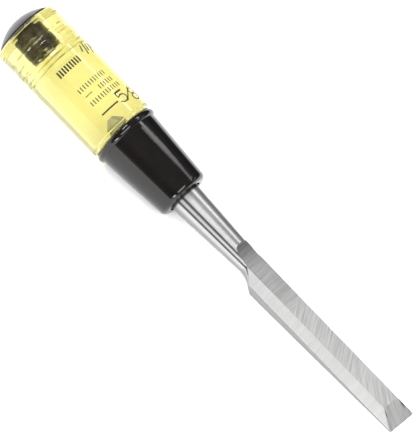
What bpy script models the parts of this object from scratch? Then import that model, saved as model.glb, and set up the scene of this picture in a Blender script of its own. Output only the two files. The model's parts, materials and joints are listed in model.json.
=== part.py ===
"""Bench chisel with a 5/8 in bevel-edged blade, a clear acetate handle, a moulded ferrule and a
push-in striking cap.

Everything is modelled along the tool's own axis: +X runs from the handle's cap end to the cutting
edge, +Z is the ground top of the blade and x = 0 is the plane of the handle's cap end. Every piece
is then parented to one empty that lays the chisel on a bench, on the bead round its ferrule's rim
and on its cutting edge. All lengths are in metres.
"""
import math

import bmesh
import bpy
from mathutils import Matrix, Vector

MM = 0.001
FIT_GAP = 0.3 * MM          # between pieces that touch on the real tool
TURNED_SIDES = 48           # facets round a turned piece
ARC_STEP = math.radians(18)  # one facet along a rounded profile
DOME_STEP = math.radians(6)

# Blade, from the cutting edge back to the shoulder
BLADE_WIDTH = 15.875 * MM
EDGE_X = 230.7 * MM
EDGE_Z = -1.5 * MM           # the back face at the cutting edge, below the tool's axis
EDGE_LAND = 0.1 * MM         # thickness left at the cutting edge
BACK_SLOPE = 0.04            # the back face drops this much per unit of length towards the handle
TOP_Z = 2.8 * MM
TOP_WIDTH = 9.2 * MM
SIDE_BEVEL_DROP = 3.75 * MM
CUTTING_ANGLE = math.radians(27)
SHOULDER_X = 147.4 * MM      # where the blade has its full width over its whole height
FULL_WIDTH_X = 144.8 * MM    # where it first reaches it
GRIND_END_X = 140.0 * MM     # the flat top ends here and runs out on the wheel's radius
GRIND_RADIUS = 28.0 * MM
GRIND_REACH = 10.0 * MM      # length of the run-out, which ends in a steep step
GRIND_STEP = math.radians(60)

# Neck, bolster and tang
NECK_START_X = 99.8 * MM
NECK_START_RADIUS = 7.45 * MM
NECK_END_X = 137.5 * MM
NECK_END_RADIUS = 5.25 * MM
FLARE_RADIUS = 11.0 * MM
FACET_CENTRE = math.radians(57.5)  # the narrow forged flats on the neck, from the top
FACET_HALF_ANGLE = math.radians(8)
BOLSTER_X = 94.3 * MM        # the shoulder that seats on the handle's nose
TANG_RADIUS = 3.1 * MM
TANG_END_X = 53.0 * MM
TANG_POINT = 2.0 * MM

# Handle
HANDLE_RADIUS = 15.7 * MM
HANDLE_FRONT_X = 59.0 * MM
HANDLE_CORNER = 1.4 * MM
HANDLE_FRONT_CORNER = 0.5 * MM
END_BAND = (4.4 * MM, 0.1 * MM)  # where the slightly raised band at the cap end stops, its rise
# Turned rings: each has a steep side towards the cap, its deepest station, a long far side, a depth
RINGS = ((8.9 * MM, 10.2 * MM, 12.9 * MM, 0.4 * MM),
         (15.7 * MM, 16.9 * MM, 18.9 * MM, 0.4 * MM),
         (20.7 * MM, 22.0 * MM, 25.2 * MM, 0.2 * MM))
BORE_END_RADIUS = 3.3 * MM   # the cap's bore ends in a blunt cone
BORE_END_X = 16.8 * MM
STEP_RADIUS = 14.75 * MM     # the reduced band next to the ferrule's rim
NOSE_X = 94.0 * MM
NOSE_WALL = 2.2 * MM         # from the ferrule's outside to the nose, with the gap
NOSE_CHAMFER = 1.0 * MM

# Ferrule
RIM_X = 60.4 * MM
RIM_CENTRE_X = 62.35 * MM
RIM_RADIUS = 15.55 * MM
RIM_BEAD = 1.9 * MM
BODY_START_X = 66.0 * MM
BODY_START_RADIUS = 14.4 * MM
BODY_END_X = 96.0 * MM
BODY_END_RADIUS = 12.2 * MM
FERRULE_FRONT_X = 98.4 * MM
FERRULE_HOLE_RADIUS = 8.3 * MM
FERRULE_WALL_X = 95.6 * MM   # inner face of the front wall

# Striking cap
DOME_RADIUS = 13.6 * MM
DOME_HEIGHT = 5.0 * MM
DOME_RIM = 0.35 * MM
PLUG_RADIUS = 5.1 * MM
PLUG_CORE_RADIUS = 4.2 * MM
PLUG_END_X = 14.2 * MM
PLUG_RINGS = ((1.0 * MM, 5.9 * MM), (7.3 * MM, 11.9 * MM), (13.2 * MM, 14.2 * MM))
PLUG_RING_EDGE = 0.3 * MM


def clear_scene():
    """Removes whatever the opened file held."""
    for thing in list(bpy.data.objects):
        bpy.data.objects.remove(thing)


def make_material(name, colour, roughness, metallic=0.0, alpha=1.0):
    """A Principled material with one plain finish."""
    material = bpy.data.materials.new(name)
    material.use_nodes = True
    shader = material.node_tree.nodes["Principled BSDF"]
    shader.inputs["Base Color"].default_value = (*colour, 1.0)
    shader.inputs["Roughness"].default_value = roughness
    shader.inputs["Metallic"].default_value = metallic
    shader.inputs["Alpha"].default_value = alpha
    material.diffuse_color = (*colour, alpha)
    return material


def add_piece(name, bm, material, rest, smooth=True):
    """Turns a bmesh into a named piece that lies with the rest of the tool."""
    bmesh.ops.recalc_face_normals(bm, faces=bm.faces)
    mesh = bpy.data.meshes.new(name)
    bm.to_mesh(mesh)
    bm.free()
    if smooth:
        mesh.shade_smooth()
        mesh.set_sharp_from_angle(angle=math.radians(30))
    mesh.materials.append(material)
    piece = bpy.data.objects.new(name, mesh)
    bpy.context.scene.collection.objects.link(piece)
    piece.parent = rest
    return piece


def arc(centre, radius, start, end, step=ARC_STEP):
    """Profile points (x, r) on an arc, both ends included, at angles in degrees from +X."""
    steps = max(2, math.ceil(abs(math.radians(end - start)) / step))
    turns = [math.radians(start + (end - start) * i / steps) for i in range(steps + 1)]
    return [(centre[0] + radius * math.cos(a), centre[1] + radius * math.sin(a)) for a in turns]


def turn(profile, closed_loop):
    """Spins a profile of (x, r) points about the tool's axis.

    A closed loop makes a ring. An open profile starts and ends on the axis and makes a solid.
    """
    bm = bmesh.new()
    verts = [bm.verts.new((x, 0.0, r)) for x, r in profile]
    edges = [bm.edges.new(pair) for pair in zip(verts, verts[1:])]
    if closed_loop:
        edges.append(bm.edges.new((verts[-1], verts[0])))
    bmesh.ops.spin(bm, geom=verts + edges, cent=(0, 0, 0), axis=(1, 0, 0),
                   angle=math.tau, steps=TURNED_SIDES, use_duplicate=False)
    bmesh.ops.remove_doubles(bm, verts=bm.verts, dist=0.001 * MM)
    return bm


def back_z(x):
    """Height of the blade's back face at a station."""
    return EDGE_Z - BACK_SLOPE * (EDGE_X - x)


def body_radius(x):
    """Outside radius of the ferrule's tapered body."""
    slope = (BODY_END_RADIUS - BODY_START_RADIUS) / (BODY_END_X - BODY_START_X)
    return BODY_START_RADIUS + slope * (x - BODY_START_X)


def neck_radius(x):
    """Radius of the tapered round neck."""
    slope = (NECK_END_RADIUS - NECK_START_RADIUS) / (NECK_END_X - NECK_START_X)
    return NECK_START_RADIUS + slope * (x - NECK_START_X)


def make_handle(material, rest):
    """Clear handle: ringed grip, a nose inside the ferrule, a cap bore and a tang bore."""
    plug_bore = PLUG_RADIUS + FIT_GAP
    tang_bore = TANG_RADIUS + FIT_GAP
    band_end, band_rise = END_BAND
    band_radius = HANDLE_RADIUS + band_rise
    profile = [(BORE_END_X, 0.0), (BORE_END_X, BORE_END_RADIUS),
               (PLUG_END_X + FIT_GAP, plug_bore), (0.0, plug_bore)]
    profile += arc((HANDLE_CORNER, band_radius - HANDLE_CORNER), HANDLE_CORNER, 180, 90)
    profile += [(band_end, band_radius), (band_end + band_rise, HANDLE_RADIUS)]
    for start, deepest, end, depth in RINGS:
        profile += [(start, HANDLE_RADIUS), (deepest, HANDLE_RADIUS - depth),
                    (end, HANDLE_RADIUS)]
    profile += arc((HANDLE_FRONT_X - HANDLE_FRONT_CORNER, HANDLE_RADIUS - HANDLE_FRONT_CORNER),
                   HANDLE_FRONT_CORNER, 90, 0)
    step_end = RIM_X - FIT_GAP
    nose_start = RIM_X + NOSE_WALL
    profile += [(HANDLE_FRONT_X, STEP_RADIUS), (step_end, STEP_RADIUS),
                (step_end, body_radius(nose_start) - NOSE_WALL),
                (NOSE_X - NOSE_CHAMFER, body_radius(NOSE_X - NOSE_CHAMFER) - NOSE_WALL),
                (NOSE_X, body_radius(NOSE_X) - NOSE_WALL - NOSE_CHAMFER),
                (NOSE_X, tang_bore), (TANG_END_X + TANG_POINT - FIT_GAP, tang_bore),
                (TANG_END_X - FIT_GAP, 0.0)]
    return add_piece("handle", turn(profile, closed_loop=False), material, rest)


def make_ferrule(material, rest):
    """Tapered collar with a bead round its rim and a wall with a hole at its front."""
    inner_wall = NOSE_WALL - FIT_GAP
    front_round = FERRULE_FRONT_X - BODY_END_X
    front_centre = (BODY_END_X, body_radius(BODY_END_X) - front_round)
    bead_centre = (RIM_CENTRE_X, RIM_RADIUS - RIM_BEAD)
    profile = [(RIM_X, body_radius(RIM_X + NOSE_WALL) - inner_wall)]
    profile += arc(bead_centre, RIM_BEAD, 175, 25)
    profile += [(BODY_START_X, BODY_START_RADIUS)]
    profile += arc(front_centre, front_round, 90, 10)
    profile += [(FERRULE_FRONT_X, front_centre[1]), (FERRULE_FRONT_X, FERRULE_HOLE_RADIUS),
                (FERRULE_WALL_X, FERRULE_HOLE_RADIUS),
                (FERRULE_WALL_X, body_radius(FERRULE_WALL_X) - inner_wall)]
    return add_piece("ferrule", turn(profile, closed_loop=True), material, rest)


def dome_sphere_radius():
    """Radius of the sphere that the dome is a cap of."""
    return (DOME_RADIUS ** 2 + DOME_HEIGHT ** 2) / (2 * DOME_HEIGHT)


def dome_centre_x():
    """Station of that sphere's centre."""
    return dome_sphere_radius() - DOME_HEIGHT - DOME_RIM - FIT_GAP


def make_striking_cap(material, rest):
    """Domed cap whose ringed plug holds it in the handle's end bore."""
    underside = -FIT_GAP
    opening = math.degrees(math.asin(DOME_RADIUS / dome_sphere_radius()))
    dome = arc((dome_centre_x(), 0.0), dome_sphere_radius(), 180, 180 - opening, DOME_STEP)
    profile = [(dome[0][0], 0.0)] + dome[1:]
    profile += [(underside, DOME_RADIUS), (underside, PLUG_CORE_RADIUS)]
    for start, end in PLUG_RINGS:
        profile += [(start, PLUG_CORE_RADIUS), (start + PLUG_RING_EDGE, PLUG_RADIUS),
                    (end - PLUG_RING_EDGE, PLUG_RADIUS), (end, PLUG_CORE_RADIUS)]
    profile += [(PLUG_END_X, 0.0)]
    return add_piece("striking_cap", turn(profile, closed_loop=False), material, rest)


def rounded_section(x, half_width, bottom, top, corner):
    """Ring of points at station x round a rectangle with rounded corners, from +Y through +Z."""
    ring = []
    side_steps = TURNED_SIDES // 4
    for quarter in range(4):
        towards_y = 1 if quarter in (0, 3) else -1
        towards_z = 1 if quarter in (0, 1) else -1
        centre_y = towards_y * (half_width - corner)
        centre_z = (top - corner) if towards_z > 0 else (bottom + corner)
        for step in range(side_steps):
            a = math.tau / 4 * (quarter + (step + 0.5) / side_steps)
            ring.append((x, centre_y + corner * math.cos(a), centre_z + corner * math.sin(a)))
    return ring


def flare_half_width(x):
    """Half width of the shoulder: the neck's side, then an arc out to the blade's full width."""
    reach = min(x, FULL_WIDTH_X) - NECK_END_X
    flare = FLARE_RADIUS - math.sqrt(FLARE_RADIUS ** 2 - reach ** 2)
    full_reach = FULL_WIDTH_X - NECK_END_X
    full_flare = FLARE_RADIUS - math.sqrt(FLARE_RADIUS ** 2 - full_reach ** 2)
    return NECK_END_RADIUS + flare / full_flare * (BLADE_WIDTH / 2 - NECK_END_RADIUS)


def forging_sections():
    """Sections of the forging from the tang's point to past the cutting edge, before grinding."""
    def round_section(x, radius):
        return rounded_section(x, radius, -radius, radius, radius)

    sections = [round_section(TANG_END_X, 0.4 * MM),
                round_section(TANG_END_X + TANG_POINT, TANG_RADIUS),
                round_section(BOLSTER_X, TANG_RADIUS),
                round_section(BOLSTER_X + 0.02 * MM, neck_radius(NECK_START_X)),
                round_section(NECK_START_X, NECK_START_RADIUS)]
    sections += [round_section(x, neck_radius(x)) for x in (0.112, 0.125, NECK_END_X)]
    crown = NECK_END_RADIUS
    flare_steps = 7
    for i in range(1, flare_steps + 1):
        x = NECK_END_X + (FULL_WIDTH_X - NECK_END_X) * i / flare_steps
        corner = NECK_END_RADIUS * (1 - 0.25 * i / flare_steps)
        sections.append(rounded_section(x, flare_half_width(x), back_z(x), crown, corner))
    for share in (0.5, 1.0):
        x = FULL_WIDTH_X + (SHOULDER_X - FULL_WIDTH_X) * share
        corner = max(0.75 * NECK_END_RADIUS * (1 - share), 0.02 * MM)
        sections.append(rounded_section(x, BLADE_WIDTH / 2, back_z(x), crown, corner))
    sections.append(rounded_section(EDGE_X, BLADE_WIDTH / 2, back_z(EDGE_X), crown, 0.02 * MM))
    return sections


def loft(sections):
    """Closed solid through rings of equally many points."""
    bm = bmesh.new()
    rings = [[bm.verts.new(point) for point in section] for section in sections]
    count = len(rings[0])
    for ring, following in zip(rings, rings[1:]):
        for i in range(count):
            j = (i + 1) % count
            bm.faces.new((ring[i], ring[j], following[j], following[i]))
    bm.faces.new(rings[0])
    bm.faces.new(rings[-1])
    return bm


def slab(outline, half_depth, turned_to=Matrix.Identity(4)):
    """Prism from an outline of (x, z) points, reaching half_depth to each side along Y."""
    bm = bmesh.new()
    bottom = [bm.verts.new((x, -half_depth, z)) for x, z in outline]
    face = bm.faces.new(bottom)
    pushed = bmesh.ops.extrude_face_region(bm, geom=[face])
    moved = [v for v in pushed["geom"] if isinstance(v, bmesh.types.BMVert)]
    bmesh.ops.translate(bm, verts=moved, vec=(0, 2 * half_depth, 0))
    bmesh.ops.transform(bm, matrix=turned_to, verts=bm.verts)
    return bm


def cut(piece, name, bm, rest):
    """Takes a solid away from a piece. The cutter stays in the file as a hidden wire guide."""
    cutter = add_piece(name, bm, piece.data.materials[0], rest, smooth=False)
    cutter.hide_render = True
    cutter.display_type = "WIRE"
    modifier = piece.modifiers.new(name, "BOOLEAN")
    modifier.operation = "DIFFERENCE"
    modifier.solver = "EXACT"
    modifier.object = cutter


def make_blade(material, rest):
    """One forging: tang, bolster, round neck, shoulder and bevel-edged blade, then its grinding."""
    blade = add_piece("blade", loft(forging_sections()), material, rest, smooth=False)
    reach = 20 * MM

    # The flat top, which runs out into the neck on the grinding wheel's radius.
    run_out_steps = 6
    last_turn = math.asin(GRIND_REACH / GRIND_RADIUS)
    run_out = [(GRIND_END_X - GRIND_RADIUS * math.sin(a), TOP_Z + GRIND_RADIUS * (1 - math.cos(a)))
               for a in (last_turn * step / run_out_steps for step in range(run_out_steps + 1))]
    step_x, step_z = run_out[-1]
    step_top = (step_x - (reach - step_z) / math.tan(GRIND_STEP), reach)
    top = [(EDGE_X + reach, TOP_Z)] + run_out + [step_top, (EDGE_X + reach, reach)]
    cut(blade, "top_grind", slab(top, reach), rest)

    # The cutting bevel, to a fine land at the edge.
    rise = math.tan(CUTTING_ANGLE - math.atan(BACK_SLOPE))
    edge_top = EDGE_Z + EDGE_LAND
    bevel = [(EDGE_X + reach, edge_top - reach * rise), (EDGE_X - reach, edge_top + reach * rise),
             (EDGE_X + reach, edge_top + reach * rise)]
    cut(blade, "cutting_bevel_grind", slab(bevel, reach), rest)

    # The side bevels, which start at the shoulder, and the narrow flats along the neck.
    run = (BLADE_WIDTH - TOP_WIDTH) / 2
    lean = math.atan2(SIDE_BEVEL_DROP, run)
    distance = TOP_WIDTH / 2 * math.sin(lean) + TOP_Z * math.cos(lean)
    start = NECK_END_X
    side = [(start, distance), (EDGE_X + reach, distance), (EDGE_X + reach, reach), (start, reach)]
    flat_drop = math.cos(FACET_HALF_ANGLE)
    flat = [(BOLSTER_X - reach, flat_drop * neck_radius(BOLSTER_X - reach)),
            (NECK_END_X, flat_drop * neck_radius(NECK_END_X)),
            (NECK_END_X, reach), (BOLSTER_X - reach, reach)]
    for hand, sign in (("left", -1), ("right", 1)):
        cut(blade, f"side_bevel_grind_{hand}",
            slab(side, reach, Matrix.Rotation(sign * lean, 4, "X")), rest)
        cut(blade, f"neck_flat_{hand}",
            slab(flat, reach, Matrix.Rotation(sign * FACET_CENTRE, 4, "X")), rest)
    return blade


def lie_on_bench(rest):
    """Sets the empty so that the bead on the ferrule's rim and the cutting edge touch z = 0.

    The origin is then under the middle of the tool, from the dome's crown to the cutting edge.
    """
    bead = Vector((RIM_CENTRE_X, 0, RIM_BEAD - RIM_RADIUS))
    edge_low = Vector((EDGE_X, 0, EDGE_Z))
    reach = edge_low - bead
    pitch = math.atan2(reach.z, reach.x) + math.asin(RIM_BEAD / reach.length)
    turned = Matrix.Rotation(pitch, 4, "Y")
    lift = -(turned @ edge_low).z
    crown = (turned @ Vector((dome_centre_x(), 0, 0))).x - dome_sphere_radius()
    edge = (turned @ Vector((EDGE_X, 0, EDGE_Z + EDGE_LAND))).x
    rest.matrix_world = Matrix.Translation((-(crown + edge) / 2, 0, lift)) @ turned


def main():
    clear_scene()
    rest = bpy.data.objects.new("lying_on_bench", None)
    bpy.context.scene.collection.objects.link(rest)
    steel = make_material("ground_steel", (0.62, 0.62, 0.63), 0.3, metallic=1.0)
    acetate = make_material("clear_yellow_acetate", (0.95, 0.86, 0.25), 0.08, alpha=0.55)
    black = make_material("black_plastic", (0.02, 0.018, 0.018), 0.2)
    make_striking_cap(black, rest)
    make_handle(acetate, rest)
    make_ferrule(black, rest)
    make_blade(steel, rest)
    lie_on_bench(rest)


main()
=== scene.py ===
"""Looks of the bench chisel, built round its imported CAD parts, with a pale floor and studio light.

The visual pieces are modelled along the tool's own axis, like the CAD parts: +X runs from the
handle's cap end to the cutting edge and +Z is the ground top of the blade. They are then laid on
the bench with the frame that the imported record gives. Lengths are in metres.
"""

import json
import math

import bmesh
import bpy
from mathutils import Matrix, Vector

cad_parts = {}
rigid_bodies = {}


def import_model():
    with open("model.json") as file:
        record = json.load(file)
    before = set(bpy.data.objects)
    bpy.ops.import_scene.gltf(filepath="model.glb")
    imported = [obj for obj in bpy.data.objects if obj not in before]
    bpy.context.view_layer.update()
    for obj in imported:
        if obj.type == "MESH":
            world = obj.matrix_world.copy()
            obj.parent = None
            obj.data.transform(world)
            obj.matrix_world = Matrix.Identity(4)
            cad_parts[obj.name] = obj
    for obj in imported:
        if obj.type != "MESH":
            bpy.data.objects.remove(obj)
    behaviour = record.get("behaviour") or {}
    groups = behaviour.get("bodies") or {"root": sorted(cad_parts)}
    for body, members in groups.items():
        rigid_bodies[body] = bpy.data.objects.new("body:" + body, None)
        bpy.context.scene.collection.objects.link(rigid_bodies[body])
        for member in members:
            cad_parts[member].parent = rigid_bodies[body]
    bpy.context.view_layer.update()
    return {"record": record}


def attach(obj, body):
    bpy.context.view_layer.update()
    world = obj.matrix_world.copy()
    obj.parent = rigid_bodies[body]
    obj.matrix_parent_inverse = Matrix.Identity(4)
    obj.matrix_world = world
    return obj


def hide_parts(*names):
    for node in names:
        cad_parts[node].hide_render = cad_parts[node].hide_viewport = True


for thing in list(bpy.data.objects):
    bpy.data.objects.remove(thing)

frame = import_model()

MM = 0.001
ROUND_SIDES = 192
FIT = 0.02 * MM              # what is left between pieces that touch
HAIR = 0.1 * MM              # between stations where an outline turns sharply

# Blade
BLADE_WIDTH = 15.875 * MM
EDGE_X = 230.7 * MM
EDGE_Z = -1.5 * MM
EDGE_LAND = 0.1 * MM
BACK_SLOPE = 0.04
TOP_Z = 2.8 * MM
TOP_MOUNT_X = 185.0 * MM     # station of the record's mount on the flat top
TOP_WIDTH = 9.2 * MM
SIDE_BEVEL_DROP = 3.75 * MM
CUTTING_ANGLE = math.radians(27)
SHOULDER_X = 147.4 * MM
FULL_WIDTH_X = 144.8 * MM
GRIND_END_X = 140.0 * MM
GRIND_RADIUS = 28.0 * MM
GRIND_REACH = 10.0 * MM
GRIND_STEP = math.radians(60)
NECK_START_X = 99.8 * MM
NECK_START_RADIUS = 7.45 * MM
NECK_END_X = 137.5 * MM
NECK_END_RADIUS = 5.25 * MM
FLARE_RADIUS = 11.0 * MM
FLARE_CORNER = 0.75          # corner radius at full width, as a share of the neck's radius
SHARP_CORNER = 0.05 * MM
NECK_STATIONS = (106, 112, 118, 125, 131)   # in millimetres
FACET_CENTRE = math.radians(57.5)
FACET_HALF_ANGLE = math.radians(8)
# Painted shade lines run along the neck at these two angles.
UPPER_CREASE = 48.6          # degrees round the neck from its top
LOWER_CREASE = 68.0
BOLSTER_X = 94.3 * MM
TANG_RADIUS = 3.1 * MM
TANG_END_X = 53.0 * MM
TANG_POINT = 3.2 * MM
TANG_TIP_RADIUS = 1.0 * MM

# Handle
HANDLE_RADIUS = 15.7 * MM
HANDLE_FRONT_X = 59.0 * MM
HANDLE_START_X = 0.45 * MM
HANDLE_CORNER = 1.1 * MM
HANDLE_FRONT_CORNER = 0.5 * MM
END_BAND = (4.4 * MM, 0.1 * MM)          # end and rise of the wider band at the cap end
END_BAND_FADE = 1.2 * MM
# Each ring hollow is (start, deepest station, end, depth).
RINGS = ((8.9 * MM, 10.2 * MM, 12.9 * MM, 0.4 * MM),
         (15.7 * MM, 16.9 * MM, 18.9 * MM, 0.4 * MM),
         (20.7 * MM, 22.0 * MM, 25.2 * MM, 0.2 * MM))
# Each painted shade line at a ring hollow is (station in millimetres, how dark).
RING_SHADE_LINES = ((8.9, 0.95), (12.6, 0.95), (15.6, 1.0), (17.0, 0.8), (19.2, 0.7), (21.4, 0.95))
BORE_END_RADIUS = 3.3 * MM
BORE_END_X = 16.8 * MM
STEP_RADIUS = 14.75 * MM
NOSE_X = 94.0 * MM
NOSE_WALL = 2.2 * MM
NOSE_CHAMFER = 1.0 * MM

# Ferrule
RIM_X = 60.4 * MM
RIM_CENTRE_X = 62.35 * MM
RIM_RADIUS = 15.55 * MM
RIM_BEAD = 1.9 * MM
BODY_START_X = 66.0 * MM
BODY_START_RADIUS = 14.4 * MM
BODY_END_X = 96.0 * MM
BODY_END_RADIUS = 12.2 * MM
FERRULE_FRONT_X = 98.4 * MM
FERRULE_HOLE_RADIUS = 8.3 * MM
FERRULE_WALL_X = 95.6 * MM

# Striking cap
DOME_RADIUS = 13.6 * MM
DOME_HEIGHT = 4.98 * MM
DOME_BASE_X = -0.66 * MM
PLUG_RADIUS = 5.1 * MM
PLUG_ROOT = (1.9 * MM, 3.3 * MM)         # end and radius of the root under the dome
PLUG_GROOVE = (12.0 * MM, 12.9 * MM, 4.95 * MM)   # start, end and radius
PLUG_END_X = 14.2 * MM
PLUG_BARBS = ((5.95 * MM, 7.25 * MM), (13.0 * MM, 14.15 * MM))
BARB_DEPTH = 0.06 * MM

# Print on the grip
INK_HEIGHTS = (0.005, 0.03)  # of the ink's foot and top above the grip, in millimetres

# Camera, in the tool's frame
VIEW_TILT = math.radians(39.526)   # from straight above the tool, towards the near side
VIEW_SWING = math.radians(8.131)   # towards the blade's end
VIEW_ROLL = math.radians(45.954)   # of the frame about the line of sight
VIEW_DISTANCE = 2.5344
VIEW_CENTRE = Vector((0.115, 0.0, 0.0))
VIEW_OFFSET = (-3.5271 * MM, 1.2061 * MM)
VIEW_OFFSET_TURN = math.radians(0.454)
LENS = 501.406               # in millimetres


# ---------------------------------------------------------------- the tool's frame

def tool_frame():
    """Matrix from the tool's own axes to the row's, from the record's mount on the flat top."""
    mount = next(m for m in frame["record"]["mounts"] if m["name"] == "blade_top")
    z = Vector(mount["axis"]).normalized()
    y = Vector((0, 1, 0))
    x = y.cross(z)
    origin = Vector(mount["pos_m"]) - x * TOP_MOUNT_X - z * TOP_Z
    matrix = Matrix((x, y, z)).transposed().to_4x4()
    matrix.translation = origin
    return matrix


LAY = tool_frame()


# ---------------------------------------------------------------- mesh helpers

def add_object(name, data):
    thing = bpy.data.objects.new(name, data)
    bpy.context.scene.collection.objects.link(thing)
    return thing


def arc(centre, radius, start, end, steps):
    """Points on an arc between two angles in degrees."""
    turns = [math.radians(start + (end - start) * i / steps) for i in range(steps + 1)]
    return [(centre[0] + radius * math.cos(a), centre[1] + radius * math.sin(a)) for a in turns]


def smooth(t):
    """Soft step from 0 to 1."""
    t = min(max(t, 0.0), 1.0)
    return t * t * (3 - 2 * t)


def turn(profile, closed_loop):
    """Turns an outline of (station, radius) about the tool's axis."""
    bm = bmesh.new()
    verts = [bm.verts.new((x, 0.0, r)) for x, r in profile]
    edges = [bm.edges.new(pair) for pair in zip(verts, verts[1:])]
    if closed_loop:
        edges.append(bm.edges.new((verts[-1], verts[0])))
    bmesh.ops.spin(bm, geom=verts + edges, cent=(0, 0, 0), axis=(1, 0, 0),
                   angle=math.tau, steps=ROUND_SIDES, use_duplicate=False)
    bmesh.ops.remove_doubles(bm, verts=bm.verts, dist=0.0005 * MM)
    return bm


def finish_piece(name, mesh, materials, sharp_angle, replaced=None):
    mesh.name = name
    mesh.shade_smooth()
    mesh.set_sharp_from_angle(angle=math.radians(sharp_angle))
    place = mesh.attributes.new("tool_mm", "FLOAT_VECTOR", "POINT")
    place.data.foreach_set("vector", [c / MM for v in mesh.vertices for c in v.co])
    mesh.transform(LAY)
    for material in materials:
        mesh.materials.append(material)
    piece = add_object(name, mesh)
    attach(piece, "root")
    if replaced:
        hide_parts(replaced)
    return piece


def mesh_of(bm):
    """Mesh from a bmesh, with its faces pointing out."""
    bmesh.ops.recalc_face_normals(bm, faces=bm.faces)
    mesh = bpy.data.meshes.new("mesh")
    bm.to_mesh(mesh)
    bm.free()
    return mesh


# ---------------------------------------------------------------- materials

class Tree:
    """Short way to write a node tree. An input is given by name, or as i0, i1 by number."""

    def __init__(self, owner):
        owner.use_nodes = True
        self.tree = owner.node_tree
        self.tree.nodes.clear()

    def add(self, kind, settings=None, **inputs):
        node = self.tree.nodes.new(kind)
        for key, value in (settings or {}).items():
            setattr(node, key, value)
        for key, value in inputs.items():
            numbered = key[0] == "i" and key[1:].isdigit()
            socket = node.inputs[int(key[1:]) if numbered else key.replace("_", " ")]
            self.feed(socket, value)
        return node

    def feed(self, socket, value):
        """Links a socket to an output, or sets its own value."""
        if isinstance(value, bpy.types.NodeSocket):
            self.tree.links.new(value, socket)
        else:
            socket.default_value = value

    def math(self, operation, a, b=0.0, c=0.0, clamp=False):
        return self.add("ShaderNodeMath", {"operation": operation, "use_clamp": clamp},
                        i0=a, i1=b, i2=c).outputs[0]

    def ramp(self, value, low, high, out_low=0.0, out_high=1.0):
        return self.add("ShaderNodeMapRange", {"interpolation_type": "SMOOTHSTEP"}, Value=value,
                        From_Min=low, From_Max=high, To_Min=out_low, To_Max=out_high).outputs[0]

    def mix(self, factor, a, b):
        node = self.add("ShaderNodeMix", {"data_type": "RGBA"})
        for number, value in ((0, factor), (6, a), (7, b)):
            self.feed(node.inputs[number], value)
        return node.outputs[2]

    def noise(self, place, per_mm=(1, 1, 1), detail=2.0, turned=0.0, roughness=0.5):
        """Noise with so many waves to the millimetre along each axis, turned about Z."""
        mapped = self.add("ShaderNodeMapping", {"vector_type": "TEXTURE"}, Vector=place,
                          Scale=tuple(1 / n for n in per_mm), Rotation=(0, 0, turned))
        return self.add("ShaderNodeTexNoise", Vector=mapped.outputs[0], Scale=1.0, Detail=detail,
                        Roughness=roughness).outputs[0]

    def mix_number(self, factor, a, b):
        return self.math("ADD", a, self.math("MULTIPLY", factor, self.math("SUBTRACT", b, a)))

    def vector_math(self, operation, a, **others):
        return self.add("ShaderNodeVectorMath", {"operation": operation}, i0=a, **others).outputs

    def scaled(self, vector, by):
        return self.vector_math("SCALE", vector, Scale=by)[0]

    def attribute(self, name):
        return self.add("ShaderNodeAttribute", {"attribute_name": name}).outputs["Vector"]

    def place(self):
        """Tool coordinates in millimetres."""
        return self.attribute("tool_mm")

    def bump(self, height, strength, distance=0.01 * MM):
        return self.add("ShaderNodeBump", Height=height, Strength=strength,
                        Distance=distance).outputs[0]

    def output(self, shader):
        self.add("ShaderNodeOutputMaterial", Surface=shader)


def new_tree(name):
    material = bpy.data.materials.new(name)
    return material, Tree(material)


def grey(value, tint=(1, 1, 1)):
    return (value * tint[0], value * tint[1], value * tint[2], 1.0)


def acetate_material():
    """Clear yellow plastic, with painted shade lines at its ring hollows. Lamps shine through it, so
    that the bench under it stays light.
    """
    material, t = new_tree("clear_yellow_acetate")
    place = t.place()
    cloud = t.noise(place, (0.12, 0.12, 0.12))
    colour = t.mix(cloud, (0.685, 0.64, 0.275, 1), (0.665, 0.62, 0.235, 1))
    x = t.add("ShaderNodeSeparateXYZ", Vector=place).outputs[0]
    broken = t.ramp(t.noise(place, (0.1, 0.2, 0.2), 3.0), 0.42, 0.58)
    # Painted shade: dark lines mixed into the plastic's colour at the ring hollows, broken up by
    # noise.
    for edge, depth in RING_SHADE_LINES:
        ring_shade = t.ramp(t.math("ABSOLUTE", t.math("SUBTRACT", x, edge)), 0.2, 0.6, depth, 0.0)
        colour = t.mix(t.math("MULTIPLY", ring_shade, broken), colour, (0.22, 0.20, 0.01, 1))
    ripple = t.noise(place, (0.05, 0.5, 0.5), 2.0)
    glass = t.add("ShaderNodeBsdfPrincipled", Base_Color=colour, Roughness=0.02, IOR=1.48,
                  Transmission_Weight=1.0, Normal=t.bump(ripple, 0.15, 0.05 * MM)).outputs[0]
    clear = t.add("ShaderNodeBsdfTransparent", Color=(0.985, 0.965, 0.80, 1)).outputs[0]
    shadow = t.add("ShaderNodeLightPath").outputs["Is Shadow Ray"]
    t.output(t.add("ShaderNodeMixShader", i0=shadow, i1=glass, i2=clear).outputs[0])
    return material


def contact_material():
    """Bore wall that the plug or the tang is pressed against, with no air between them."""
    material, t = new_tree("pressed_bore_wall")
    t.output(t.add("ShaderNodeBsdfTransparent", Color=(1, 1, 1, 1)).outputs[0])
    return material


def sawn_material():
    """Dull end of the grip, under the cap."""
    material, t = new_tree("sawn_yellow_end")
    marks = t.noise(t.place(), (1.0, 0.4, 3.0), 3.0)
    colour = t.mix(marks, (0.84, 0.82, 0.5, 1), (0.95, 0.93, 0.62, 1))
    t.output(t.add("ShaderNodeBsdfPrincipled", Base_Color=colour, Roughness=0.7,
                   Normal=t.bump(marks, 0.4, 0.05 * MM)).outputs[0])
    return material


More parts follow.
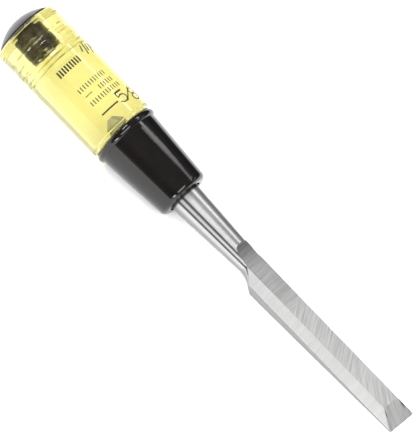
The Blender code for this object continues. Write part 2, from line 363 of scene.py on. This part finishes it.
def plastic_material(name, dark, light, roughness):
    """Moulded plastic with a slight cloud, a fine grain and a soft waviness."""
    material, t = new_tree(name)
    place = t.place()
    cloud = t.noise(place, (0.15, 0.15, 0.15), 3.0)
    grain = t.noise(place, (2.5, 2.5, 2.5), 2.0)
    colour = t.mix(cloud, dark, light)
    rough = t.ramp(grain, 0.3, 0.7, roughness * 0.85, roughness * 1.2)
    wave = t.noise(place, (0.25, 0.25, 0.25), 1.0)
    t.output(t.add("ShaderNodeBsdfPrincipled", Base_Color=colour, Roughness=rough,
                   Normal=t.bump(wave, 0.2, 0.05 * MM)).outputs[0])
    return material


def air_gap_material():
    """Thin air round the plug's barbs, which glints through the clear grip."""
    material, t = new_tree("air_gap_glint")
    cloud = t.noise(t.place(), (0.8, 0.8, 0.8))
    colour = t.mix(cloud, grey(0.10), grey(0.14))
    t.output(t.add("ShaderNodeBsdfPrincipled", Base_Color=colour, Metallic=0.9,
                   Roughness=0.2).outputs[0])
    return material


def scratches(t, flat, x, families):
    """Height of the scratches, and the angle that they run at from the tool's axis."""
    fade = 8
    total, turned = 0.0, math.radians(families[0][0])
    for degrees, start, end, amount in families:
        angle = math.radians(degrees)
        fine = t.noise(flat, (0.05, 1.35, 1), 3.0, -angle, 0.65)
        broad = t.noise(flat, (0.03, 0.4, 1), 3.0, -angle, 0.65)
        lines = t.math("MULTIPLY_ADD", t.math("SUBTRACT", broad, 0.5), 0.8,
                       t.math("MULTIPLY", t.math("SUBTRACT", fine, 0.5), 1.7))
        inside = t.math("MULTIPLY", t.ramp(x, start - fade, start + fade),
                        t.ramp(x, end - fade, end + fade, amount, 0.0))
        total = t.math("MULTIPLY_ADD", lines, inside, total)
        if start > 0:
            turned = t.mix_number(t.ramp(x, start - fade, start + fade), turned, angle)
    return total, turned


def painted_crease_shade(t, colour, around_neck, crease_shades):
    """Painted shade: dark lines along the neck, and its painted darker lower side, in degrees round
    it from its top.
    """
    for edge, depth in crease_shades:
        distance = t.math("ABSOLUTE", t.math("SUBTRACT", around_neck, edge))
        colour = t.mix(t.ramp(distance, 2.5, 6.5, depth, 0.0), colour, grey(0.05))
    # Painted shade: the lower side darkens in two steps towards the underneath.
    for start, end, depth in ((66, 74, 0.32), (80, 98, 0.55)):
        colour = t.mix(t.ramp(around_neck, start, end, 0.0, depth), colour, grey(0.12))
    return colour


def painted_rim_shade(t, colour, x, across, outline):
    """Painted shade: a dark rim along both sides of a face, which fades out along the tool."""
    half_width, start, end, depth = outline
    rim_shade_share = t.ramp(t.math("ABSOLUTE", across), half_width - 0.5, half_width, 0.0, depth)
    rim_shade_share = t.math("MULTIPLY", rim_shade_share, t.ramp(x, start, end, 1.0, 0.0))
    return t.mix(rim_shade_share, colour, grey(0.05))


def dark_spot_paint(t, colour, flat, centre, reach, depth):
    """Dark oval mark with a soft rim."""
    apart = t.vector_math("SUBTRACT", flat, i1=(*centre, 0))[0]
    apart = t.vector_math("DIVIDE", apart, i1=(*reach, 1))[0]
    apart = t.vector_math("LENGTH", apart)["Value"]
    return t.mix(t.ramp(apart, 0.3, 1.0, depth, 0.0), colour, grey(0.05))


def steel_material(name, tone, roughness, anisotropy, families, contrast=1.0, crease_shades=(),
                   start_shade=None, outline=None, dark_spots=()):
    """Ground steel between two tones of grey. Places are in millimetres along the face.

    A family of scratches is (degrees from the tool's axis, from x, to x, amount), and the
    highlight stretches across them. A crease is (degrees round the neck, depth), a painted
    shade line along the neck, which also brings the neck's painted darker lower side; the
    dark start is (from x, to x, depth), painted shade at the start of the face; outline is
    (half width, from x, to x, depth), painted shade along both rims; and a dark spot is
    (centre, reach, depth), a dark oval. Depth is how dark the paint is.
    """
    material, t = new_tree(name)
    face = t.attribute("face_mm")
    x, across, around_neck = t.add("ShaderNodeSeparateXYZ", Vector=face).outputs
    flat = t.add("ShaderNodeCombineXYZ", i0=x, i1=across).outputs[0]
    total, turned = scratches(t, flat, x, families)
    cloud = t.math("SUBTRACT", t.noise(flat, (0.1, 0.25, 1), 3.0), 0.5)
    shade = t.math("MULTIPLY_ADD", cloud, 0.2, 0.5)
    shade = t.math("MULTIPLY_ADD", total, contrast, shade, clamp=True)
    tint = (1.0, 0.998, 0.992)
    colour = t.mix(shade, grey(tone[0], tint), grey(tone[1], tint))
    # Painted shade lines along the neck, and its painted darker lower side.
    if crease_shades:
        colour = painted_crease_shade(t, colour, around_neck, crease_shades)
    # Painted shade at the start of a face: next to the ferrule on the neck, and at the run-out end
    # of the flat top.
    if start_shade:
        start, end, depth = start_shade
        colour = t.mix(t.ramp(x, start, end, depth, 0.0), colour, grey(0.04))
    # Painted shade along both rims of the face.
    if outline:
        colour = painted_rim_shade(t, colour, x, across, outline)
    # Dark oval spots on the face.
    for dark_spot in dark_spots:
        colour = dark_spot_paint(t, colour, flat, *dark_spot)
    along_part = t.scaled(t.attribute("along"), t.math("SINE", turned))
    across_part = t.scaled(t.attribute("across"), t.math("COSINE", turned))
    stretch = t.vector_math("ADD", along_part, i1=across_part)[0]
    rough = t.math("MULTIPLY_ADD", total, 0.1, roughness, clamp=True)
    t.output(t.add("ShaderNodeBsdfPrincipled", Base_Color=colour, Metallic=1.0, Roughness=rough,
                   Anisotropic=anisotropy, Tangent=stretch,
                   Normal=t.bump(total, 0.3, 0.02 * MM)).outputs[0])
    return material


def ink_material(name, tone):
    """Worn print."""
    material, t = new_tree(name)
    worn = t.ramp(t.noise(t.place(), (2.0, 2.0, 2.0), 3.0), 0.35, 0.7)
    colour = t.mix(worn, (tone, tone, tone * 0.8, 1), (tone * 2 + 0.01, tone * 2 + 0.01, tone, 1))
    t.output(t.add("ShaderNodeBsdfPrincipled", Base_Color=colour, Roughness=0.45).outputs[0])
    return material


# ---------------------------------------------------------------- turned pieces

def body_radius(x):
    """Outer radius of the tapered ferrule."""
    slope = (BODY_END_RADIUS - BODY_START_RADIUS) / (BODY_END_X - BODY_START_X)
    return BODY_START_RADIUS + slope * (x - BODY_START_X)


def handle_radius(x):
    """Radius of the ringed grip, with soft hollows."""
    band_end, band_rise = END_BAND
    past_band = smooth((x - band_end + END_BAND_FADE / 2) / END_BAND_FADE)
    radius = HANDLE_RADIUS + band_rise * (1 - past_band)
    for start, deepest, end, depth in RINGS:
        fall = smooth((x - start) / (deepest - start))
        rise = smooth((x - deepest) / (end - deepest))
        radius -= depth * (fall - rise)
    return radius


def straight(start, end, radius, count=12):
    """Stations along a straight part, closest at its two ends so that shading stays true."""
    shares = [0.0, 0.01, 0.03] + [0.08 + 0.84 * i / count for i in range(count + 1)]
    shares += [0.97, 0.99, 1.0]
    stations = [start + (end - start) * share for share in shares]
    return [(x, radius(x)) for x in stations]


def build_handle():
    plug_bore = PLUG_RADIUS + FIT
    tang_bore = TANG_RADIUS + FIT
    ring_step, first_step, past_rings = 0.2 * MM, 0.25 * MM, 0.5 * MM
    profile = [(BORE_END_X, 0.0), (BORE_END_X, BORE_END_RADIUS), (PLUG_END_X + HAIR, plug_bore),
               (HANDLE_START_X, plug_bore)]
    corner_x = HANDLE_START_X + HANDLE_CORNER
    profile += arc((corner_x, handle_radius(corner_x) - HANDLE_CORNER), HANDLE_CORNER, 180, 90, 10)
    x = corner_x + first_step
    while x < RINGS[-1][2] + past_rings:
        profile.append((x, handle_radius(x)))
        x += ring_step
    profile += straight(x + past_rings, HANDLE_FRONT_X - HANDLE_FRONT_CORNER - HAIR,
                        handle_radius)
    profile += arc((HANDLE_FRONT_X - HANDLE_FRONT_CORNER, HANDLE_RADIUS - HANDLE_FRONT_CORNER),
                   HANDLE_FRONT_CORNER, 90, 0, 6)
    step_end = RIM_X - 0.15 * MM
    nose_start = RIM_X + NOSE_WALL
    profile += [(HANDLE_FRONT_X, STEP_RADIUS), (step_end, STEP_RADIUS),
                (step_end, body_radius(nose_start) - NOSE_WALL),
                (NOSE_X - NOSE_CHAMFER, body_radius(NOSE_X - NOSE_CHAMFER) - NOSE_WALL),
                (NOSE_X, body_radius(NOSE_X) - NOSE_WALL - NOSE_CHAMFER),
                (NOSE_X, tang_bore), (TANG_END_X + TANG_POINT - FIT, tang_bore),
                (TANG_END_X - FIT, TANG_TIP_RADIUS + FIT), (TANG_END_X - FIT, 0.0)]
    mesh = mesh_of(turn(profile, closed_loop=False))
    pressed, sawn = 1, 2
    for face in mesh.polygons:
        x, radius = face.center.x, math.hypot(face.center.y, face.center.z)
        in_plug_bore = x < PLUG_END_X and plug_bore * 0.9 < radius < plug_bore + 0.1 * MM
        in_tang_bore = x > TANG_END_X - 1 * MM and radius < tang_bore + 0.05 * MM
        if in_plug_bore or in_tang_bore:
            face.material_index = pressed
        if x < HANDLE_START_X + 0.05 * MM:
            face.material_index = sawn
    materials = [acetate_material(), contact_material(), sawn_material()]
    return finish_piece("handle_shell", mesh, materials, 25,
                        "handle")


def build_ferrule():
    inner_wall = NOSE_WALL - FIT
    front_round = FERRULE_FRONT_X - BODY_END_X
    front_centre = (BODY_END_X, body_radius(BODY_END_X) - front_round)
    bead_centre = (RIM_CENTRE_X, RIM_RADIUS - RIM_BEAD)
    profile = [(RIM_X, body_radius(RIM_X + NOSE_WALL) - inner_wall)]
    profile += arc(bead_centre, RIM_BEAD, 175, 25, 24)
    profile += straight(BODY_START_X, BODY_END_X - HAIR, body_radius)
    profile += arc(front_centre, front_round, 86, 10, 14)
    profile += [(FERRULE_FRONT_X, front_centre[1]), (FERRULE_FRONT_X, FERRULE_HOLE_RADIUS),
                (FERRULE_WALL_X, FERRULE_HOLE_RADIUS),
                (FERRULE_WALL_X, body_radius(FERRULE_WALL_X) - inner_wall)]
    material = plastic_material("ferrule_plastic", (0.003, 0.0024, 0.0022, 1),
                                (0.006, 0.005, 0.0046, 1), 0.07)
    return finish_piece("ferrule_shell", mesh_of(turn(profile, closed_loop=True)), [material], 30,
                        "ferrule")


def barbs(start, end, count=3):
    """Small cones that grip the bore, each widening towards the plug's end."""
    gap = 0.02 * MM
    length = (end - start) / count
    outline = []
    for i in range(count):
        outline += [(start + i * length, PLUG_RADIUS - BARB_DEPTH),
                    (start + (i + 1) * length - gap, PLUG_RADIUS)]
    return outline


def build_cap():
    sphere = (DOME_RADIUS ** 2 + DOME_HEIGHT ** 2) / (2 * DOME_HEIGHT)
    underside = HANDLE_START_X - 0.06 * MM
    centre = DOME_BASE_X + sphere - DOME_HEIGHT
    opening = math.degrees(math.asin(DOME_RADIUS / sphere))
    dome = arc((centre, 0.0), sphere, 180, 180 - opening, 24)
    profile = [(dome[0][0], 0.0)] + dome[1:]
    root_end, root_radius = PLUG_ROOT
    groove_start, groove_end, groove_radius = PLUG_GROOVE
    profile += [(underside, DOME_RADIUS), (underside, root_radius), (root_end, root_radius),
                (root_end + HAIR, PLUG_RADIUS)]
    profile += barbs(*PLUG_BARBS[0])
    profile += [(groove_start - 0.05 * MM, PLUG_RADIUS), (groove_start, groove_radius),
                (groove_end, groove_radius)]
    profile += barbs(*PLUG_BARBS[1])
    profile += [(PLUG_END_X, PLUG_RADIUS - 0.05 * MM), (PLUG_END_X, 0.0)]
    material = plastic_material("cap_plastic", (0.010, 0.007, 0.009, 1),
                                (0.018, 0.014, 0.018, 1), 0.28)
    mesh = mesh_of(turn(profile, closed_loop=False))
    for face in mesh.polygons:
        if any(start < face.center.x < end for start, end in PLUG_BARBS):
            face.material_index = 1
    return finish_piece("cap_body", mesh, [material, air_gap_material()], 30,
                        "striking_cap")


# ---------------------------------------------------------------- blade

def back_z(x):
    """Height of the flat back, which slopes to the edge."""
    return EDGE_Z - BACK_SLOPE * (EDGE_X - x)


def neck_radius(x):
    slope = (NECK_END_RADIUS - NECK_START_RADIUS) / (NECK_END_X - NECK_START_X)
    return NECK_START_RADIUS + slope * (x - NECK_START_X)


def rounded_section(x, half_width, bottom, top, corner):
    """Ring of points round a box with rounded corners."""
    ring = []
    corner_steps = 32
    for quarter in range(4):
        towards_y = 1 if quarter in (0, 3) else -1
        towards_z = 1 if quarter in (0, 1) else -1
        centre_y = towards_y * (half_width - corner)
        centre_z = (top - corner) if towards_z > 0 else (bottom + corner)
        for step in range(corner_steps):
            a = math.tau / 4 * (quarter + (step + 0.5) / corner_steps)
            ring.append((x, centre_y + corner * math.cos(a), centre_z + corner * math.sin(a)))
    return ring


def flare_half_width(x):
    """Half the width between the neck and the full blade, on a round flare."""
    def flare(reach):
        return FLARE_RADIUS - math.sqrt(FLARE_RADIUS ** 2 - reach ** 2)
    share = flare(min(x, FULL_WIDTH_X) - NECK_END_X) / flare(FULL_WIDTH_X - NECK_END_X)
    return NECK_END_RADIUS + share * (BLADE_WIDTH / 2 - NECK_END_RADIUS)


def forging():
    """The steel before it is ground: tang, bolster, neck, flare and a square bar."""
    def round_section(x, radius):
        return rounded_section(x, radius, -radius, radius, radius)

    sections = [round_section(TANG_END_X, TANG_TIP_RADIUS),
                round_section(TANG_END_X + TANG_POINT, TANG_RADIUS),
                round_section(BOLSTER_X, TANG_RADIUS),
                round_section(BOLSTER_X + 0.02 * MM, neck_radius(NECK_START_X)),
                round_section(NECK_START_X, NECK_START_RADIUS)]
    sections += [round_section(x * MM, neck_radius(x * MM)) for x in NECK_STATIONS]
    sections.append(round_section(NECK_END_X, NECK_END_RADIUS))
    crown = NECK_END_RADIUS
    flare_steps = 16
    for i in range(1, flare_steps + 1):
        x = NECK_END_X + (FULL_WIDTH_X - NECK_END_X) * i / flare_steps
        corner = NECK_END_RADIUS * (1 - (1 - FLARE_CORNER) * i / flare_steps)
        sections.append(rounded_section(x, flare_half_width(x), back_z(x), crown, corner))
    for share in (0.25, 0.5, 0.75, 1.0):
        x = FULL_WIDTH_X + (SHOULDER_X - FULL_WIDTH_X) * share
        corner = max(FLARE_CORNER * NECK_END_RADIUS * (1 - share), SHARP_CORNER)
        sections.append(rounded_section(x, BLADE_WIDTH / 2, back_z(x), crown, corner))
    sections.append(rounded_section(EDGE_X, BLADE_WIDTH / 2, back_z(EDGE_X), crown,
                                    SHARP_CORNER))
    bm = bmesh.new()
    rings = [[bm.verts.new(point) for point in section] for section in sections]
    count = len(rings[0])
    for ring, following in zip(rings, rings[1:]):
        for i in range(count):
            j = (i + 1) % count
            bm.faces.new((ring[i], ring[j], following[j], following[i]))
    bm.faces.new(rings[0])
    bm.faces.new(rings[-1])
    return bm


def slab(outline, half_depth, turned_to=Matrix.Identity(4)):
    """Cutter: an outline of (x, z) made thick along Y, then turned."""
    bm = bmesh.new()
    face = bm.faces.new([bm.verts.new((x, -half_depth, z)) for x, z in outline])
    pushed = bmesh.ops.extrude_face_region(bm, geom=[face])
    moved = [v for v in pushed["geom"] if isinstance(v, bmesh.types.BMVert)]
    bmesh.ops.translate(bm, verts=moved, vec=(0, 2 * half_depth, 0))
    bmesh.ops.transform(bm, matrix=turned_to, verts=bm.verts)
    return bm


def side_bevel_plane():
    """Lean of the side bevels and their distance from the tool's axis."""
    lean = math.atan2(SIDE_BEVEL_DROP, (BLADE_WIDTH - TOP_WIDTH) / 2)
    return lean, TOP_WIDTH / 2 * math.sin(lean) + TOP_Z * math.cos(lean)


def grinding():
    """The solids that grinding takes away."""
    reach = 20 * MM
    steps = 14
    last_turn = math.asin(GRIND_REACH / GRIND_RADIUS)
    run_out = [(GRIND_END_X - GRIND_RADIUS * math.sin(a), TOP_Z + GRIND_RADIUS * (1 - math.cos(a)))
               for a in (last_turn * step / steps for step in range(steps + 1))]
    step_x, step_z = run_out[-1]
    step_top = (step_x - (reach - step_z) / math.tan(GRIND_STEP), reach)
    yield slab([(EDGE_X + reach, TOP_Z)] + run_out + [step_top, (EDGE_X + reach, reach)], reach)

    rise = math.tan(CUTTING_ANGLE - math.atan(BACK_SLOPE))
    edge_top = EDGE_Z + EDGE_LAND
    yield slab([(EDGE_X + reach, edge_top - reach * rise), (EDGE_X - reach, edge_top + reach * rise),
                (EDGE_X + reach, edge_top + reach * rise)], reach)

    lean, distance = side_bevel_plane()
    start = NECK_END_X
    side = [(start, distance), (EDGE_X + reach, distance), (EDGE_X + reach, reach), (start, reach)]
    flat_drop = math.cos(FACET_HALF_ANGLE)
    flat = [(BOLSTER_X - reach, flat_drop * neck_radius(BOLSTER_X - reach)),
            (NECK_END_X, flat_drop * neck_radius(NECK_END_X)),
            (NECK_END_X, reach), (BOLSTER_X - reach, reach)]
    for sign in (-1, 1):
        yield slab(side, reach, Matrix.Rotation(sign * lean, 4, "X"))
        yield slab(flat, reach, Matrix.Rotation(sign * FACET_CENTRE, 4, "X"))


def ground_mesh():
    """The forging less what grinding takes away."""
    blank = add_object("blank", mesh_of(forging()))
    cutters = []
    for bm in grinding():
        cutter = add_object("cutter", mesh_of(bm))
        cutters.append(cutter)
        modifier = blank.modifiers.new("grind", "BOOLEAN")
        modifier.operation = "DIFFERENCE"
        modifier.solver = "EXACT"
        modifier.object = cutter
    bpy.context.view_layer.update()
    graph = bpy.context.evaluated_depsgraph_get()
    mesh = bpy.data.meshes.new_from_object(blank.evaluated_get(graph))
    for thing in cutters + [blank]:
        bpy.data.objects.remove(thing)
    return mesh


NECK, TOP, SIDE, CUTTING, LAND, BACK, TANG = range(7)


def surface_kind(face):
    """Which ground surface a face of the blade belongs to, from where it is and faces."""
    x, n = face.center.x, face.normal
    beside_run_out = n.z > 0.9 and x > GRIND_END_X - GRIND_REACH - 1 * MM
    if x < BOLSTER_X + 0.1 * MM:
        return TANG
    if n.x > 0.2 and n.z > 0.5 and x > GRIND_END_X + 20 * MM:
        return CUTTING
    if n.x > 0.5 and n.z > 0.3:          # the step that the wheel leaves
        return TOP
    if x < NECK_END_X and not beside_run_out:
        return NECK
    if n.z > 0.9:
        return TOP
    if n.z > 0.5 and abs(n.y) > 0.6:
        return SIDE
    if n.z < -0.9:
        return BACK
    return LAND if abs(n.y) > 0.95 and x > FULL_WIDTH_X else NECK


def crease_place(point, angle, lean, distance):
    """Degrees round the neck from its top. Past the neck's end it counts down from the side
    bevel instead, so that the lower crease follows that bevel's edge onto the flare."""
    place = abs(angle)
    if point.x > NECK_END_X - 1 * MM:
        below = distance - abs(point.y) * math.sin(lean) - point.z * math.cos(lean)
        below = math.degrees(below / NECK_END_RADIUS)
        # Five times as fast past five degrees, so that the painted shade of the lower side starts
        # close by.
        from_bevel = LOWER_CREASE + max(below, 5 * below - 20)
        share = smooth((point.x - NECK_END_X) / (2 * MM))
        place += (from_bevel - place) * share
    return place


def build_blade():
    """The blade, with each face's own directions and its places in millimetres for the steel."""
    mesh = ground_mesh()
    along, across, face_mm = [], [], []
    turned = LAY.to_3x3()
    lean, distance = side_bevel_plane()
    for face in mesh.polygons:
        kind = surface_kind(face)
        face.material_index = kind
        middle = math.degrees(math.atan2(-face.center.y, face.center.z))
        sideways = face.normal.cross(Vector((1, 0, 0))).normalized()
        for vertex in face.vertices:
            point = mesh.vertices[vertex].co
            if kind == NECK:
                direction = Vector((0, point.z, -point.y)).normalized()
                angle = math.degrees(math.atan2(-point.y, point.z))
                angle = middle + (angle - middle + 180) % 360 - 180
                face_mm += [point.x / MM, -math.radians(angle) * NECK_END_RADIUS / MM,
                            crease_place(point, angle, lean, distance)]
            else:
                direction = sideways
                face_mm += [point.x / MM, point.dot(sideways) / MM, 0.0]
            across.extend(turned @ direction)
            along.extend((turned @ direction.cross(face.normal)).normalized())
    for name, values in (("along", along), ("across", across), ("face_mm", face_mm)):
        mesh.attributes.new(name, "FLOAT_VECTOR", "CORNER").data.foreach_set("vector", values)
    everywhere = (0, 400)
    steels = [
        steel_material("neck_steel", (0.45, 0.82), 0.42, 0.65,
                       [(90, *everywhere, 0.5), (0, *everywhere, 0.5)], 0.5,
                       [(UPPER_CREASE, 0.85), (LOWER_CREASE, 0.93)], (98.9, 100.0, 0.95)),
        steel_material("ground_top", (0.41, 0.755), 0.42, 0.75,
                       [(88, 0, 166, 0.8), (60, 162, 206, 1.0), (40, 202, 400, 1.0)],
                       1.3, start_shade=(126, 145, 0.75), outline=(4.6, 146, 158, 0.6)),
        steel_material("side_bevel", (0.68, 0.96), 0.5, 0.8, [(88, *everywhere, 0.7)], 0.7),
        steel_material("cutting_bevel", (0.49, 0.87), 0.42, 0.5, [(14, *everywhere, 1.0)], 1.6,
                       dark_spots=[((223.8, 5.6), (4.0, 1.3), 0.7),
                                ((223.6, -5.2), (2.4, 0.6), 0.6)]),
        # Painted shade: the side land is a darker copy of the ground steel, standing in for the
        # shade it lies in.
        steel_material("side_land", (0.205, 0.315), 0.35, 0.0, [(0, *everywhere, 0.6)], 0.7),
        steel_material("ground_back", (0.5, 0.8), 0.35, 0.5, [(88, *everywhere, 0.8)]),
        steel_material("forged_tang", (0.5, 0.66), 0.7, 0.0, [(0, *everywhere, 0.6)]),
    ]
    return finish_piece("blade_forging", mesh, steels, 4.0, "blade")


# ---------------------------------------------------------------- printed marks

def printed(name, strokes, material):
    """Thin ink on the grip. A stroke is (points, widths): points are (along the reading
    direction, up towards the cap) in millimetres from a place (station, angle from the top)."""
    bm = bmesh.new()
    foot, top = INK_HEIGHTS
    for (station, angle), points, widths in strokes:
        count = len(points)
        rows = []
        for i, (s, b) in enumerate(points):
            before, after = points[max(i - 1, 0)], points[min(i + 1, count - 1)]
            along = Vector((after[0] - before[0], after[1] - before[1])).normalized()
            half = widths[min(i, len(widths) - 1)] / 2
            across = Vector((-along.y, along.x)) * half
            row = []
            for side, height in ((1, foot), (1, top), (-1, top), (-1, foot)):
                sx, sb = s + side * across.x, b + side * across.y
                x = station - sb
                r = handle_radius(x * MM) + height * MM
                a = math.radians(angle) - sx * MM / HANDLE_RADIUS
                row.append(bm.verts.new((x * MM, -r * math.sin(a), r * math.cos(a))))
            rows.append(row)
        for one, two in zip(rows, rows[1:]):
            for k in range(4):
                m = (k + 1) % 4
                bm.faces.new((one[k], one[m], two[m], two[k]))
        bm.faces.new(rows[0])
        bm.faces.new(rows[-1])
    return finish_piece(name, mesh_of(bm), [material], 30)


def line(start, end, step=0.5):
    """Points along a straight stroke."""
    length = math.hypot(end[0] - start[0], end[1] - start[1])
    count = max(2, math.ceil(length / step))
    return [(start[0] + (end[0] - start[0]) * i / count, start[1] + (end[1] - start[1]) * i / count)
            for i in range(count + 1)]


def oval(centre, half_width, half_height, start, end, steps=24):
    """Points along part of an oval, between two angles in degrees."""
    unit_circle = arc((0, 0), 1, start, end, steps)
    return [(centre[0] + half_width * x, centre[1] + half_height * y) for x, y in unit_circle]


def build_marks():
    """The size number, and plain rules where the other print is."""
    dark = ink_material("size_ink", 0.01)
    faint = ink_material("small_ink", 0.03)
    five, slash, eight, underline = (53.7, 7.6), (53.9, -4.0), (55.5, -19.0), (51.6, 44.5)
    size = [
        (five, line((0.5, 5.6), (4.3, 5.6)), [0.9]),
        (five, line((0.5, 5.8), (0.4, 3.4)), [0.6]),
        (five, oval((2.3, 1.95), 2.1, 1.85, 150, -160), [0.45, 0.5, 0.6, 0.7, 0.7, 0.7, 0.6]),
        (slash, line((0, 0), (6.6, 5.6)), [0.55]),
        (eight, oval((2.4, 1.65), 2.1, 1.6, 0, 360), [0.65]),
        (eight, oval((2.4, 4.75), 1.8, 1.45, 0, 360), [0.6]),
        (underline, line((0, 0), (9.2, 0)), [0.7]),
    ]
    printed("size_mark", size, dark)

    bold_pitch, fine_pitch = 1.42, 1.45
    bold = [((28.4, 51.0), line((0.3 + i * bold_pitch, 0.1), (0.3 + i * bold_pitch, 3.3)), [0.8])
            for i in range(9)]
    printed("bold_rules", bold, dark)
    fine = [((41.3, 44.0), line((0, 0), (3.8, 0)), [0.4])]
    for station, top, count in ((38.9, 45, 11), (43.0, 16, 6), (46.5, 44, 12)):
        for i in range(count):
            rule = line((i * fine_pitch, 0.1), (i * fine_pitch, 2.4))
            fine.append(((station, top), rule, [0.5]))
    for start, lean, low, high in ((-4.2, 1.6, -0.6, 2.6), (-2.4, 2.0, -2.8, 3.2),
                                   (-0.4, 1.6, -1.4, 2.2), (1.4, 2.2, -3.2, 1.6),
                                   (3.4, 1.4, -0.8, 2.4)):
        fine.append(((24.9, -22.0), line((start, low), (start + lean, high)), [0.75]))
    printed("fine_rules", fine, faint)


# ---------------------------------------------------------------- stage

# Each soft box is (name, stations along the tool, angles from straight up in degrees and
# positive towards the far side, distance, radiance, whether gloss shows it).
SOFT_BOXES = (
    ("handle_strip", (-0.6, 0.028), (24, 34), 1.0, 5.0, True),
    ("strip_start", (0.028, 0.042), (16, 41), 1.0, 3.8, True),
    ("strip_middle", (0.042, 0.055), (20, 38), 1.0, 3.3, True),
    ("strip", (0.055, 0.7), (25, 33), 1.0, 2.6, True),
    ("left_box", (-1.6, -0.8), (-34, -10), 1.2, 12.0, True),
    ("right_box", (0.5, 1.6), (-50, -8), 1.2, 4.7, True),
    ("right_low_box", (0.5, 1.6), (-80, -66), 1.2, 10.0, True),
    ("right_far_box", (0.5, 1.6), (48, 62), 1.2, 1.2, True),
    ("near_fill", (-1.0, 1.2), (-80, -35), 1.5, 2.7, False),
    ("far_fill", (-1.0, 1.2), (25, 70), 1.5, 0.3, False),
)


def soft_box(name, stations, angles, distance, radiance, glossy):
    """Lamp beside the tool that faces its axis."""
    middle, half = math.radians(sum(angles) / 2), math.radians((angles[1] - angles[0]) / 2)
    out = Vector((0, math.sin(middle), math.cos(middle)))
    data = bpy.data.lights.new(name, "AREA")
    data.shape = "RECTANGLE"
    data.size = stations[1] - stations[0]
    data.size_y = 2 * distance * math.tan(half)
    data.energy = radiance * math.pi * data.size * data.size_y
    lamp = add_object(name, data)
    place = Matrix((Vector((1, 0, 0)), out.cross(Vector((1, 0, 0))), out)).transposed().to_4x4()
    place.translation = Vector((sum(stations) / 2, 0, 0)) + out * distance
    lamp.matrix_world = LAY @ place
    lamp.visible_glossy = glossy


def build_floor():
    bm = bmesh.new()
    bmesh.ops.create_grid(bm, x_segments=8, y_segments=8, size=6.0)
    floor = add_object("floor", mesh_of(bm))
    material, t = new_tree("pale_floor")
    where = t.add("ShaderNodeTexCoord").outputs["Object"]
    colour = t.mix(t.noise(where, (30, 30, 30), 3.0), grey(0.88), grey(0.92))
    t.output(t.add("ShaderNodeBsdfPrincipled", Base_Color=colour, Roughness=0.9,
                   Specular_IOR_Level=0.1).outputs[0])
    floor.data.materials.append(material)
    floor.location.z = -FIT


def build_world():
    """Gloss shows a dim room with a lighter horizon, the floor is lit evenly, and what shows
    through the clear grip is light low down and dimmer overhead."""
    world = bpy.data.worlds.new("studio")
    bpy.context.scene.world = world
    t = Tree(world)
    heading = t.add("ShaderNodeTexCoord").outputs["Generated"]
    height = t.add("ShaderNodeSeparateXYZ", Vector=heading).outputs[2]
    room = t.ramp(height, 0.35, 0.75, 0.072, 0.216)
    horizon = t.ramp(height, 0.0, 0.22, 0.3, 0.0)
    through_grip = t.ramp(height, 0.1, 0.5, 1.0, 0.3)
    path = t.add("ShaderNodeLightPath").outputs
    level = t.mix_number(path["Is Diffuse Ray"], t.math("ADD", room, horizon), 1.0)
    level = t.mix_number(path["Is Transmission Ray"], level, through_grip)
    background = t.add("ShaderNodeBackground", Color=(1, 1, 1, 1), Strength=level)
    t.add("ShaderNodeOutputWorld", Surface=background.outputs[0])


def build_camera():
    towards_blade, above = math.sin(VIEW_SWING), math.cos(VIEW_SWING)
    back = Vector((towards_blade, -above * math.sin(VIEW_TILT), above * math.cos(VIEW_TILT)))
    right = (Vector((1, 0, 0)) - back * back.x).normalized()
    up = back.cross(right)

    def rolled(angle):
        return (right * math.cos(angle) + up * math.sin(angle),
                up * math.cos(angle) - right * math.sin(angle))

    offset_x, offset_y = rolled(VIEW_OFFSET_TURN)
    aim = VIEW_CENTRE + offset_x * VIEW_OFFSET[0] + offset_y * VIEW_OFFSET[1]
    x, y = rolled(VIEW_ROLL)
    matrix = Matrix((x, y, back)).transposed().to_4x4()
    matrix.translation = aim + back * VIEW_DISTANCE
    data = bpy.data.cameras.new("camera")
    data.sensor_width = 36.0
    data.lens = LENS
    data.clip_end = 20.0
    camera = add_object("camera", data)
    camera.matrix_world = LAY @ matrix
    bpy.context.scene.camera = camera


build_cap()
build_handle()
build_ferrule()
build_blade()
build_marks()
build_floor()
for box in SOFT_BOXES:
    soft_box(*box)
build_world()
build_camera()
bpy.context.scene.view_settings.view_transform = "Standard"
